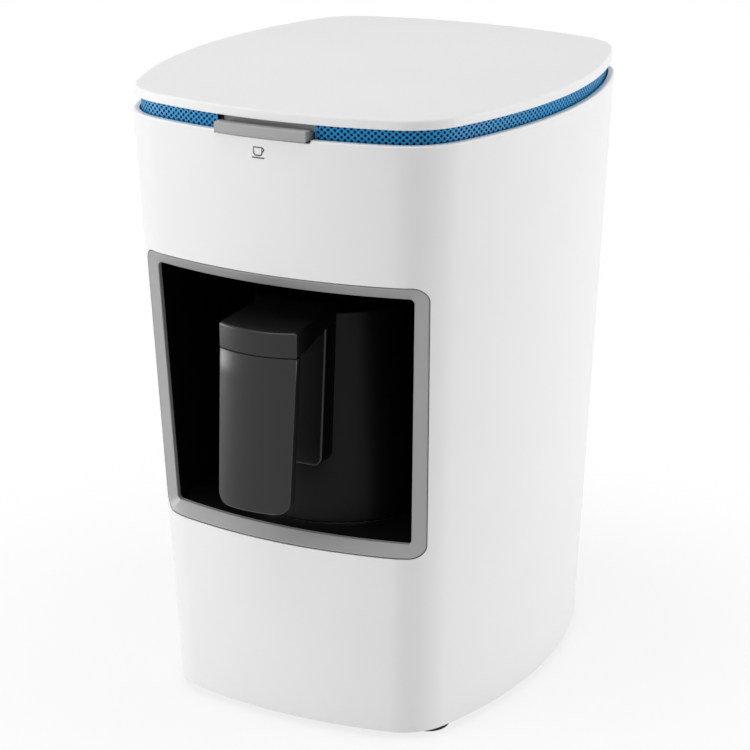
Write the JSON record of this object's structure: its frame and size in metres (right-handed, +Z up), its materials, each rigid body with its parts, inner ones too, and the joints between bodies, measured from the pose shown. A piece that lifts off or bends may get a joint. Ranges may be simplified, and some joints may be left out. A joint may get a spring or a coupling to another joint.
{
  "type": "electric turkish coffee maker",
  "caption": "Tapered countertop coffee maker with an open bay in its front, a handled pot that pulls out of the bay, a lid over a mesh ring and a start button.",
  "frame": {"origin": "middle of the object's bounding box on the table under its feet", "axes": "+Z up, -Y to the front with the bay and the button, +X to the user's right"},
  "size_m": [0.1754, 0.2111, 0.2634],
  "materials": {
    "white_shell": "satin white moulded plastic",
    "blue_mesh": "blue plastic with fine round holes",
    "grey_trim": "satin grey plastic",
    "black_gloss": "black plastic",
    "black_satin": "satin black plastic",
    "pot_coat": "black coated aluminium",
    "bare_metal": "brushed aluminium",
    "steel": "zinc plated steel",
    "clear_window": "dark red glass",
    "rubber": "black rubber",
    "circuit_board": "green board",
    "component": "dark electronic component",
    "component_blue": "blue electronic component",
    "led": "milky lens",
    "wire": "wire insulation",
    "grey_plastic": "light grey moulded plastic"
  },
  "bodies": {
    "housing": {"outer_shell": "white_shell", "lid": "white_shell", "mesh_ring": "blue_mesh", "top_deck": "grey_plastic", "base_plate": "grey_plastic", "feet": "rubber", "opening_bezel": "grey_trim", "cavity_liner": "black_gloss", "support_pillars": "grey_plastic", "deck_pillars": "grey_plastic", "base_screws": "steel", "deck_screws": "steel", "lid_screws": "steel", "hot_plate": "bare_metal", "plate_seal": "rubber", "heating_element": "steel", "heater_tray": "bare_metal", "thermostat": "component", "thermal_fuse": "steel", "power_board": "circuit_board", "board_standoffs": "grey_plastic", "relay": "component_blue", "transformer": "component", "capacitor": "component_blue", "terminal_block": "component_blue", "control_board": "circuit_board", "control_standoffs": "grey_plastic", "controller_chip": "component", "buzzer": "component", "status_leds": "led", "sensor_window": "clear_window", "sensor_housing": "black_satin", "button_guide": "grey_plastic", "start_switch": "component", "cord_gland": "black_satin", "cord_clamp": "grey_plastic", "clamp_screws": "steel", "heater_leads": "wire", "wire_harness": "wire"},
    "button": {"start_button": "grey_trim", "switch_plunger": "black_satin", "button_springs": "steel"},
    "pot": {"pot_vessel": "pot_coat", "pot_base_disc": "bare_metal", "handle_mount": "black_satin", "handle_hood": "black_satin", "handle_grip": "black_satin", "handle_studs": "steel", "mount_rivets": "steel"}
  },
  "joints": [
    {"name": "pot_slide", "type": "slide", "parent": "housing", "child": "pot", "axis": [0, -1, 0], "range_m": [0, 0.15]},
    {"name": "button_press", "type": "slide", "parent": "housing", "child": "button", "axis": [0, 1, 0], "range_m": [0, 0.0015], "stiffness_N_per_m": 400, "springref_m": -0.002, "deforming": ["button_springs"]}
  ]
}
